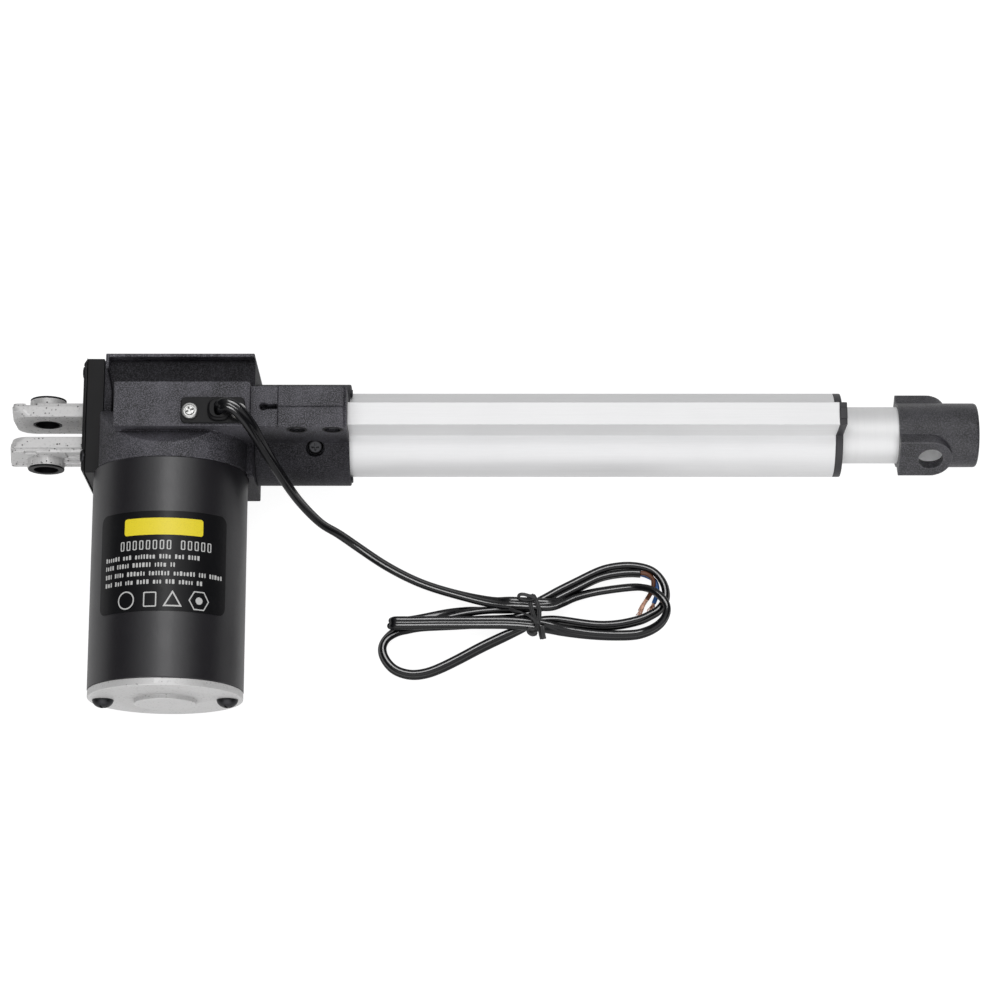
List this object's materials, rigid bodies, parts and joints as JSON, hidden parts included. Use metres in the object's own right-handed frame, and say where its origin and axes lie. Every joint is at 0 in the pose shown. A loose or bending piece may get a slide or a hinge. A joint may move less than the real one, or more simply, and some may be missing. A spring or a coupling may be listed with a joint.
{
  "type": "electric linear actuator",
  "caption": "Right-angle motor driving a lead screw that pushes a round rod out of a keyhole-profile tube, with a rear clevis, a cross-drilled front fitting and a coiled two-core lead.",
  "frame": {"origin": "centre of the rear clevis pin, on the axis of the tube and screw", "axes": "+X along the tube towards the rod end; +Y away from the motor, along the rear pin; +Z towards the cable box; the rod is shown fully retracted"},
  "size_m": [0.3984, 0.1456, 0.0794],
  "materials": {
    "cast_alloy": "pitted die-cast, matt",
    "grained_black": "spark-grained matt",
    "smooth_black": "smooth satin",
    "can_black": "satin black coat",
    "fitting_black": "fine-grained black coat",
    "tube_alloy": "satin anodised extrusion",
    "rod_alloy": "turned satin",
    "bright_steel": "zinc-plated",
    "black_steel": "blackened steel",
    "seal_rubber": "matt",
    "pale_polymer": "machined acetal",
    "cam_orange": "moulded",
    "copper": "bare copper",
    "bronze": "sintered",
    "iron": "plain",
    "brush_parts": "moulded and carbon",
    "board": "coated laminate",
    "switch_body": "moulded",
    "label_film": "glossy printed film",
    "cable_jacket": "glossy flexible",
    "core_insulation": "glossy flexible"
  },
  "bodies": {
    "housing": {"rear_clevis": "cast_alloy", "clevis_bushes": "smooth_black", "clevis_screws": "bright_steel", "rear_cover": "smooth_black", "cover_screws": "bright_steel", "gearbox_housing": "grained_black", "housing_lid": "grained_black", "collar": "grained_black", "collar_screws": "black_steel", "collar_lock_screw": "bright_steel", "outer_tube": "tube_alloy", "tube_end_cap": "smooth_black", "guide_bush": "pale_polymer", "rod_seal": "seal_rubber", "spindle_outer_rings": "bright_steel", "spindle_balls": "bright_steel", "limit_board": "board", "limit_switches": "switch_body", "motor_can": "can_black", "motor_end_cap": "cast_alloy", "motor_end_screws": "black_steel", "motor_front_plate": "cast_alloy", "motor_magnets": "iron", "motor_outer_rings": "bright_steel", "worm_end_bush": "bronze", "brush_holder": "brush_parts", "brushes": "brush_parts", "motor_label": "label_film", "gland_plate": "grained_black", "gland_screws": "bright_steel", "cable_grommet": "smooth_black", "power_cable": "cable_jacket", "cable_cores": "core_insulation", "core_ends": "copper", "cable_tie": "cable_jacket"},
    "armature": {"motor_shaft": "bright_steel", "worm": "bright_steel", "armature_core": "iron", "armature_windings": "copper", "commutator": "copper", "motor_inner_rings": "bright_steel"},
    "spindle": {"lead_screw": "bright_steel", "screw_lock_nut": "bright_steel", "spindle_spacer": "bright_steel", "worm_wheel": "pale_polymer", "wheel_key": "bright_steel", "spindle_inner_rings": "bright_steel"},
    "nut": {"drive_nut": "pale_polymer", "nut_retainer": "bright_steel", "switch_cam": "cam_orange"},
    "rod": {"rod_tube": "rod_alloy", "front_fitting": "fitting_black", "rod_end_plug": "rod_alloy"}
  },
  "joints": [
    {"name": "armature_spin", "type": "hinge", "parent": "housing", "child": "armature", "pos_m": [0.0534, 0, 0.0155], "axis": [0, -1, 0], "range_deg": [0, 360000]},
    {"name": "spindle_spin", "type": "hinge", "parent": "housing", "child": "spindle", "pos_m": [0.0534, 0, 0], "axis": [-1, 0, 0], "range_deg": [0, 18000]},
    {"name": "rod_slide", "type": "slide", "parent": "housing", "child": "nut", "axis": [1, 0, 0], "range_m": [0, 0.2]},
    {"name": "rod_turn", "type": "hinge", "parent": "nut", "child": "rod", "pos_m": [0.365, 0, 0], "axis": [1, 0, 0], "continuous": true}
  ],
  "couplings": [
    {"joint": "spindle_spin", "follows": "armature_spin", "ratio": 0.05},
    {"joint": "rod_slide", "follows": "armature_spin", "m_per_rad": 0.000031831}
  ]
}
